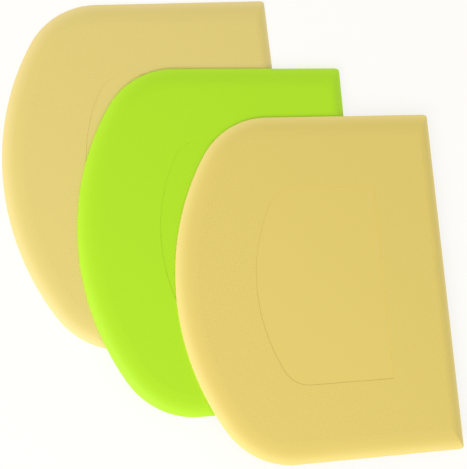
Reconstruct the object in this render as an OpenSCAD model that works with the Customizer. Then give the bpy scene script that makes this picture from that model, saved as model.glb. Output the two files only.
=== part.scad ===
// Three moulded bowl scrapers, lying fanned in a stack.
// Each is one flexible D-shaped blade: a straight edge for the board and a long curve for the bowl,
// with a rim that thins out all round under a crowned taper.
// X runs towards the straight edges, Y along them and Z up from the table.
// The origin is in the middle of the underside of the bottom scraper.

/* [Outline of a scraper] */
// Length of the straight edge, corner to corner
edge_l = 120; // [100:1:140]
// Depth from the straight edge to the crest of the curve
depth = 98; // [90:1:115]
// Radius of the long curve
curve_r = 88.75; // [80:0.25:140]
// Radius of the shoulders, where the curve runs into the straight sides
shoulder_r = 27.8; // [15:0.2:36]
// Radius of the two corners at the ends of the straight edge
corner_r = 1.5; // [0.5:0.1:4]

/* [Thickness and taper] */
// Thickness of the flat field
field_t = 2.2; // [1.6:0.1:3]
// Thickness left at the rim
rim_t = 0.7; // [0.4:0.1:1.2]
// Width of the taper along the curve, the shoulders and the sides
taper_w = 7.5; // [4:0.5:12]
// Width of the taper along the straight edge
edge_taper_w = 4.5; // [3:0.5:8]

/* [Smooth panel] */
// Flat field left between the panel and the straight edge
panel_edge_gap = 24; // [16:0.5:26]
// Field left between the panel and each straight side
panel_side_gap = 26; // [20:0.5:34]
// Field left between the panel and the curve, which run parallel
panel_curve_gap = 27.75; // [20:0.25:29]
// Radius of the shoulders of the panel
panel_shoulder_r = 10; // [5:0.5:15]
// How far the panel is sunk into the field
panel_sunk = 0.15; // [0.05:0.05:0.4]

/* [Fan of the stack] */
// Middle scraper: how far its centre lies beyond the bottom one's, along X
middle_x = 22.4; // [0:0.1:40]
// Middle scraper: the same along Y
middle_y = -25; // [-50:0.5:50]
// Middle scraper: its turn, seen from above, in degrees
middle_turn = -2; // [-30:0.5:30]
// Top scraper: how far its centre lies beyond the bottom one's, along X
top_x = 53.2; // [0:0.1:60]
// Top scraper: the same along Y
top_y = -44.5; // [-60:0.5:60]
// Top scraper: its turn, seen from above, in degrees
top_turn = -1.8; // [-30:0.1:30]

/* [Hidden] */
$fn = 180;

// How far cutting shapes reach past what they cut
over = 1;
half_l = edge_l / 2;
// The straight edge lies this far from the scraper's centre
edge_x = depth / 2;
// Centre of the long curve, on the scraper's middle line
curve_centre = [curve_r - depth / 2, 0];
// Centre of the shoulder on the +Y side, and of the panel's
shoulder_centre = shoulder_of(half_l, curve_r, shoulder_r);
panel_half_l = half_l - panel_side_gap;
panel_curve_r = curve_r - panel_curve_gap;
panel_shoulder_centre = shoulder_of(panel_half_l, panel_curve_r, panel_shoulder_r);

pale_yellow = "#dfcb75";
lime_green = "#addf26";
warm_yellow = "#dec769";

// Where a shoulder's centre lies, for it to touch a straight side and the long curve from within
function shoulder_of(half, curve, shoulder) = [
  curve_centre.x - sqrt((curve - shoulder) ^ 2 - (half - shoulder) ^ 2),
  half - shoulder
];

// A point past the rim on the line from the curve's centre through a shoulder's centre.
// On that line the curve hands over to the shoulder.
function past_rim(centre) = curve_centre
  + (ceil(curve_r / (curve_centre.x - centre.x)) + 1) * (centre - curve_centre);

// Radius of the crown that leaves the field level and drops to the rim over a width
function crown_r(width) = (width ^ 2 + (field_t - rim_t) ^ 2) / (2 * (field_t - rim_t));

// The part of the plan that the long curve closes, between the two shoulders
module curve_patch(centre) {
  far = past_rim(centre);
  polygon([centre, far, [far.x, -far.y], [centre.x, -centre.y]]);
}

// The part of the plan that the +Y shoulder closes
module shoulder_patch(centre) {
  far = past_rim(centre);
  polygon([centre, far, [centre.x, far.y]]);
}

// Half of the blade's cross-section: level from the middle, then crowned down to the rim
module half_section(reach) {
  intersection() {
    square([reach, field_t]);
    union() {
      square([reach - taper_w, field_t]);
      translate([reach - taper_w, field_t - crown_r(taper_w)]) circle(r = crown_r(taper_w));
    }
  }
}

// A round blade of the same section, kept only over the child's patch of the plan
module round_part(centre, reach) {
  intersection() {
    translate(centre) rotate_extrude() half_section(reach);
    translate([0, 0, -over]) linear_extrude(field_t + 2 * over) children();
  }
}

// Everything between the two straight sides, drawn out along X
module straight_part() {
  translate([shoulder_centre.x, 0, 0]) rotate([90, 0, 90]) {
    linear_extrude(edge_x - shoulder_centre.x) {
      half_section(half_l);
      mirror([1, 0]) half_section(half_l);
    }
  }
}

// What the taper of the straight edge takes away, drawn out along Y
module edge_taper() {
  rotate([90, 0, 0]) linear_extrude(edge_l + 2 * over, center = true) {
    translate([edge_x - edge_taper_w, 0]) difference() {
      square([edge_taper_w + over, field_t + over]);
      square([edge_taper_w + over, rim_t]);
      translate([0, field_t - crown_r(edge_taper_w)]) circle(r = crown_r(edge_taper_w));
    }
  }
}

// What rounds off the +Y end of the straight edge
module corner_rounding() {
  translate([edge_x - corner_r, half_l - corner_r, -over]) linear_extrude(field_t + 2 * over) {
    difference() {
      square(corner_r + over);
      circle(r = corner_r);
    }
  }
}

// Outline of the smooth panel: a small D whose curve runs parallel to the blade's
module panel_outline() {
  translate([panel_shoulder_centre.x, -panel_half_l]) {
    square([edge_x - panel_edge_gap - panel_shoulder_centre.x, 2 * panel_half_l]);
  }
  intersection() {
    translate(curve_centre) circle(r = panel_curve_r);
    curve_patch(panel_shoulder_centre);
  }
  for (side = [0, 1]) mirror([0, side]) intersection() {
    translate(panel_shoulder_centre) circle(r = panel_shoulder_r);
    shoulder_patch(panel_shoulder_centre);
  }
}

// One scraper, lying flat with its centre at the origin
module scraper() {
  difference() {
    union() {
      straight_part();
      round_part(curve_centre, curve_r) curve_patch(shoulder_centre);
      for (side = [0, 1]) mirror([0, side, 0]) {
        round_part(shoulder_centre, shoulder_r) shoulder_patch(shoulder_centre);
      }
    }
    edge_taper();
    for (side = [0, 1]) mirror([0, side, 0]) corner_rounding();
    translate([0, 0, field_t - panel_sunk]) linear_extrude(panel_sunk + over) panel_outline();
  }
}

module bottom_scraper() {
  color(pale_yellow) scraper();
}

module middle_scraper() {
  color(lime_green) translate([middle_x, middle_y, field_t]) rotate([0, 0, middle_turn]) scraper();
}

module top_scraper() {
  color(warm_yellow) translate([top_x, top_y, 2 * field_t]) rotate([0, 0, top_turn]) scraper();
}

bottom_scraper();
middle_scraper();
top_scraper();
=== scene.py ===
"""A set of three moulded bowl scrapers, fanned in a flat stack on a white table, dressed for the camera."""

import logging
import math
from dataclasses import dataclass, field
from enum import Enum
from typing import Any

import bpy
from mathutils import Matrix, Vector


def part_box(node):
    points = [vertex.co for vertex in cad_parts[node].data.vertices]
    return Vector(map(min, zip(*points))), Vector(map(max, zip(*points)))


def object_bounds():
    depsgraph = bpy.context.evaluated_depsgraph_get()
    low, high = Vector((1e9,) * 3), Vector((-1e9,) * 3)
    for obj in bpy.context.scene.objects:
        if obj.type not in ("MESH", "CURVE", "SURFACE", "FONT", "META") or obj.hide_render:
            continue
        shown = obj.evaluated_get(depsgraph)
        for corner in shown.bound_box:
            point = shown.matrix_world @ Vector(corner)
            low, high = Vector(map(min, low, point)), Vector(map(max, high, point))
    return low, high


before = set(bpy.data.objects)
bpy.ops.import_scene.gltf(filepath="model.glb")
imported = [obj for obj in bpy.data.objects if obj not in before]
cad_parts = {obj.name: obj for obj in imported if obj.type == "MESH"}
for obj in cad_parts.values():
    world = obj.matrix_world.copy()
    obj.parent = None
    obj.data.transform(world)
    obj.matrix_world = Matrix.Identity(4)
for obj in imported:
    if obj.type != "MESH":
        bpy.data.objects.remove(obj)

CAD_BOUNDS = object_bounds()

log = logging.getLogger("bowl_scrapers")

MM = 0.001
# The photograph's longer side, which the camera's sensor spans
PHOTO_SIDE_PX = 469
SENSOR_MM = 36.0
# White of the photograph's background, a touch warm
BACKGROUND_WHITE = "#fffefa"


def linear(hex_colour: str) -> tuple[float, float, float, float]:
    """Turns an sRGB hex colour into the linear colour that a shader takes.

    Args:
        hex_colour: Colour as "#rrggbb".

    Returns:
        Linear red, green and blue, and an alpha of 1.
    """
    channels = [int(hex_colour[i:i + 2], 16) / 255 for i in (1, 3, 5)]
    curved = [c / 12.92 if c <= 0.04045 else ((c + 0.055) / 1.055) ** 2.4 for c in channels]
    return (*curved, 1.0)


def add_node(
    tree: bpy.types.NodeTree,
    kind: str,
    settings: dict[str, Any] | None = None,
    values: dict[str | int, Any] | None = None,
    links: dict[str | int, bpy.types.NodeSocket] | None = None,
) -> bpy.types.Node:
    """Adds a shader node.

    Args:
        tree: Node tree that takes the node.
        kind: Node type, such as "ShaderNodeMath".
        settings: Attributes of the node, by name.
        values: Values of its input sockets, by name or number.
        links: Output sockets of other nodes, by the name or number of the input that they feed.

    Returns:
        The new node.
    """
    node = tree.nodes.new(kind)
    for name, value in (settings or {}).items():
        setattr(node, name, value)
    for name, value in (values or {}).items():
        node.inputs[name].default_value = value
    for name, output in (links or {}).items():
        tree.links.new(output, node.inputs[name])
    return node


def new_material(name: str) -> bpy.types.Material:
    """Makes an empty node material.

    Args:
        name: Name of the material.

    Returns:
        The material, with no nodes in it.
    """
    material = bpy.data.materials.new(name)
    material.use_nodes = True
    material.node_tree.nodes.clear()
    return material


class PigmentAndRimLight(Enum):
    """Field colour of the plastic, and a lighter colour painted on the thin rim as light through it."""

    # Each second colour is painted light: a lighter rim colour that stands for light through the thin edge
    PALE_YELLOW = ("#dfcb75", "#f0da90")
    LIME_GREEN = ("#addf12", "#b8ea24")
    WARM_YELLOW = ("#dec769", "#f0da82")

    @property
    def body(self) -> str:
        """Colour of the thick field."""
        return self.value[0]

    @property
    def painted_rim_light(self) -> str:
        """Lighter colour of the thin rim: painted light that stands for light shining through it."""
        return self.value[1]


@dataclass(frozen=True)
class MouldedPolypropylene:
    """Flexible polypropylene, injection moulded: satin and a little waxy, with a fine grain on the field.

    The grain is a spark-eroded diamond pattern of the mould. It breaks the reflection up, so the
    field looks matt beside the plain panel and the plain taper. The thin rim lets light through;
    that light is painted in, as a lighter colour on the rim than on the field.
    """

    pigment_and_rim_light: PigmentAndRimLight
    # As far apart as the pips show in the photograph
    grain_pitch_mm: float = 0.9
    grain_depth_mm: float = 0.03
    grain_turn_deg: float = 45.0
    field_roughness: float = 0.55
    plain_roughness: float = 0.42
    refractive_index: float = 1.49
    specular_level: float = 0.4
    # What lies this little below the top still counts as the field, and the panel doesn't
    level_slack_mm: float = 0.05
    # The painted rim light sets in at the depth of the panel and is full at the rim
    painted_rim_light_from_mm: float = 0.15
    painted_rim_light_full_mm: float = 1.5

    def material(self, name: str, top_m: float) -> bpy.types.Material:
        """Builds the material of one blade.

        Args:
            name: Name of the material.
            top_m: Height of the blade's grained field in the row frame, in metres.

        Returns:
            The material.
        """
        material = new_material(name)
        tree = material.node_tree
        place = add_node(tree, "ShaderNodeTexCoord").outputs["Object"]
        height = add_node(tree, "ShaderNodeSeparateXYZ", links={0: place}).outputs["Z"]
        on_field = add_node(
            tree, "ShaderNodeMath", {"operation": "GREATER_THAN"},
            {1: top_m - self.level_slack_mm * MM}, {0: height},
        ).outputs[0]
        # Painted light: the thin rim is mixed towards a lighter colour, standing for light shining through
        # it
        painted_rim_light_mask = add_node(
            tree, "ShaderNodeMapRange", {"interpolation_type": "SMOOTHSTEP"},
            {
                "From Min": top_m - self.painted_rim_light_from_mm * MM,
                "From Max": top_m - self.painted_rim_light_full_mm * MM,
            },
            {"Value": height},
        ).outputs["Result"]
        colour = add_node(
            tree, "ShaderNodeMix", {"data_type": "RGBA"},
            {6: linear(self.pigment_and_rim_light.body), 7: linear(self.pigment_and_rim_light.painted_rim_light)}, {0: painted_rim_light_mask},
        ).outputs[2]
        roughness = add_node(
            tree, "ShaderNodeMapRange", None,
            {"To Min": self.plain_roughness, "To Max": self.field_roughness}, {"Value": on_field},
        ).outputs["Result"]
        shader = add_node(
            tree, "ShaderNodeBsdfPrincipled", None,
            {"IOR": self.refractive_index, "Specular IOR Level": self.specular_level},
            {"Base Color": colour, "Roughness": roughness, "Normal": self.grain(tree, place, on_field)},
        )
        add_node(tree, "ShaderNodeOutputMaterial", links={"Surface": shader.outputs["BSDF"]})
        return material

    def grain(
        self, tree: bpy.types.NodeTree, place: bpy.types.NodeSocket, mask: bpy.types.NodeSocket
    ) -> bpy.types.NodeSocket:
        """Adds the diamond grain as relief.

        Args:
            tree: Node tree of the material.
            place: Output that gives the place on the piece.
            mask: Output that is 1 on the grained field and 0 elsewhere.

        Returns:
            The output that gives the bent normal.
        """
        radians_per_m = 2 * math.pi / (self.grain_pitch_mm * MM)
        diagonal = add_node(
            tree, "ShaderNodeMapping", None,
            {
                "Rotation": (0, 0, math.radians(self.grain_turn_deg)),
                "Scale": (radians_per_m, radians_per_m, radians_per_m),
            },
            {"Vector": place},
        ).outputs["Vector"]
        axes = add_node(tree, "ShaderNodeSeparateXYZ", links={0: diagonal})
        waves = [
            add_node(tree, "ShaderNodeMath", {"operation": "SINE"}, links={0: axes.outputs[axis]}).outputs[0]
            for axis in ("X", "Y")
        ]
        pips = add_node(
            tree, "ShaderNodeMath", {"operation": "MULTIPLY"}, links={0: waves[0], 1: waves[1]}
        ).outputs[0]
        return add_node(
            tree, "ShaderNodeBump", None,
            {"Distance": self.grain_depth_mm * MM}, {"Height": pips, "Strength": mask},
        ).outputs["Normal"]


@dataclass(frozen=True)
class PaintedBoard:
    """White paint on board, rolled: it has no gloss, so the stack's shadow on it is soft and plain.

    The camera sees most of it as the photograph's background, and the rest as lit paint.
    """

    paint: str = "#fbfaf6"
    glow_strength: float = 1.0
    camera_glow: float = 0.8

    def material(self, name: str) -> bpy.types.Material:
        """Builds the material of the table.

        Args:
            name: Name of the material.

        Returns:
            The material.
        """
        material = new_material(name)
        tree = material.node_tree
        paint = add_node(
            tree, "ShaderNodeBsdfDiffuse", None, {"Color": linear(self.paint)}
        ).outputs["BSDF"]
        glow = add_node(
            tree, "ShaderNodeEmission", None,
            {"Color": linear(BACKGROUND_WHITE), "Strength": self.glow_strength},
        ).outputs["Emission"]
        seen = add_node(tree, "ShaderNodeLightPath").outputs["Is Camera Ray"]
        share = add_node(
            tree, "ShaderNodeMath", {"operation": "MULTIPLY"}, {1: self.camera_glow}, {0: seen}
        ).outputs[0]
        mixed = add_node(tree, "ShaderNodeMixShader", links={0: share, 1: paint, 2: glow})
        add_node(tree, "ShaderNodeOutputMaterial", links={"Surface": mixed.outputs[0]})
        return material


@dataclass
class BowlScraper:
    """One D-shaped blade of the set, which is a solid of the part and only gets its finish here."""

    node: str
    body: str
    finish: MouldedPolypropylene

    def build(self) -> bpy.types.Object:
        """Dresses the blade.

        Returns:
            The blade's object.
        """
        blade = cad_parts[self.node]
        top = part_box(self.node)[1][2]
        blade.data.materials.clear()
        blade.data.materials.append(self.finish.material(f"{self.node}_moulded_polypropylene", top))
        return blade


@dataclass
class WhiteTable:
    """A white surface under the stack, wide enough to fill the picture."""

    size_m: float = 4.0
    finish: PaintedBoard = PaintedBoard()

    def build(self) -> bpy.types.Object:
        """Lays the table and paints it.

        Returns:
            The table's object.
        """
        bpy.ops.object.select_all(action="DESELECT")
        bpy.ops.mesh.primitive_plane_add(size=self.size_m, location=(0, 0, CAD_BOUNDS[0][2]))
        table = bpy.context.object
        table.name = "white_table"
        bpy.ops.object.transform_apply(location=True, rotation=True, scale=True)
        table.data.materials.append(self.finish.material("white_painted_board"))
        return table


@dataclass
class SoftStudio:
    """A pale room with one big soft lamp beyond the lower left of the picture."""

    room_light: str = "#ffffff"
    room_strength: float = 0.70
    background_strength: float = 1.0
    lamp_size_m: float = 0.6
    lamp_watts: float = 4.8
    lamp_place: tuple[float, float, float] = (-0.45, -0.5, 0.5)
    aim: tuple[float, float, float] = (0.03, -0.02, 0.0)

    def build(self) -> bpy.types.Object:
        """Lights the room and hangs the lamp.

        Returns:
            The lamp's object.
        """
        self.light_room()
        return self.hang_lamp()

    def light_room(self) -> None:
        """Makes the room, which the camera sees as the photograph's background."""
        world = bpy.data.worlds.new("pale_room")
        bpy.context.scene.world = world
        world.use_nodes = True
        tree = world.node_tree
        tree.nodes.clear()
        light = add_node(
            tree, "ShaderNodeBackground", None,
            {"Color": linear(self.room_light), "Strength": self.room_strength},
        ).outputs[0]
        background = add_node(
            tree, "ShaderNodeBackground", None,
            {"Color": linear(BACKGROUND_WHITE), "Strength": self.background_strength},
        ).outputs[0]
        seen = add_node(tree, "ShaderNodeLightPath").outputs["Is Camera Ray"]
        mixed = add_node(tree, "ShaderNodeMixShader", links={0: seen, 1: light, 2: background})
        add_node(tree, "ShaderNodeOutputWorld", links={"Surface": mixed.outputs[0]})

    def hang_lamp(self) -> bpy.types.Object:
        """Hangs the lamp and aims it at the stack.

        Returns:
            The lamp's object.
        """
        data = bpy.data.lights.new("soft_lamp", "AREA")
        data.size = self.lamp_size_m
        data.energy = self.lamp_watts
        lamp = bpy.data.objects.new("soft_lamp", data)
        bpy.context.scene.collection.objects.link(lamp)
        lamp.location = self.lamp_place
        towards = Vector(self.aim) - Vector(self.lamp_place)
        lamp.rotation_euler = towards.to_track_quat("-Z", "Y").to_euler()
        return lamp


@dataclass
class PhotoCamera:
    """Camera at the photograph's angle: looking down from the lower left, almost from above.

    Its place, its directions and its focal length come from a fit to the outline of the top blade.
    """

    place_mm: tuple[float, float, float] = (-83.1, -83.1, 396.0)
    forward: tuple[float, float, float] = (0.2670, 0.1427, -0.9531)
    up: tuple[float, float, float] = (0.0737, 0.9831, 0.1678)
    focal_px: float = 1200.0
    clip_start_m: float = 0.01

    def build(self) -> bpy.types.Object:
        """Sets the camera up.

        Returns:
            The camera's object.
        """
        data = bpy.data.cameras.new("photo_camera")
        data.sensor_width = SENSOR_MM
        data.lens = SENSOR_MM * self.focal_px / PHOTO_SIDE_PX
        data.clip_start = self.clip_start_m
        camera = bpy.data.objects.new("photo_camera", data)
        bpy.context.scene.collection.objects.link(camera)
        back = -Vector(self.forward).normalized()
        right = Vector(self.up).cross(back).normalized()
        up = back.cross(right)
        turn = Matrix((right, up, back)).transposed().to_4x4()
        camera.matrix_world = Matrix.Translation(Vector(self.place_mm) * MM) @ turn
        bpy.context.scene.camera = camera
        return camera


@dataclass
class ScraperSet:
    """The three blades, from the table up."""

    scrapers: list[BowlScraper] = field(default_factory=lambda: [
        BowlScraper("bottom_scraper", "bottom", MouldedPolypropylene(PigmentAndRimLight.PALE_YELLOW)),
        BowlScraper(
            "middle_scraper", "middle", MouldedPolypropylene(PigmentAndRimLight.LIME_GREEN, grain_depth_mm=0.01)
        ),
        BowlScraper("top_scraper", "top", MouldedPolypropylene(PigmentAndRimLight.WARM_YELLOW)),
    ])

    def build(self) -> None:
        """Dresses each blade and reports it."""
        for scraper in self.scrapers:
            blade = scraper.build()
            log.info("%s rides on %s, %d faces", blade.name, scraper.body, len(blade.data.polygons))


def main() -> None:
    """Sets up the camera, the table, the light and the blades, in that order."""
    logging.basicConfig(level=logging.INFO, format="%(name)s: %(message)s")
    bpy.context.scene.view_settings.view_transform = "Standard"
    PhotoCamera().build()
    WhiteTable().build()
    SoftStudio().build()
    ScraperSet().build()


if __name__ == "__main__":
    main()
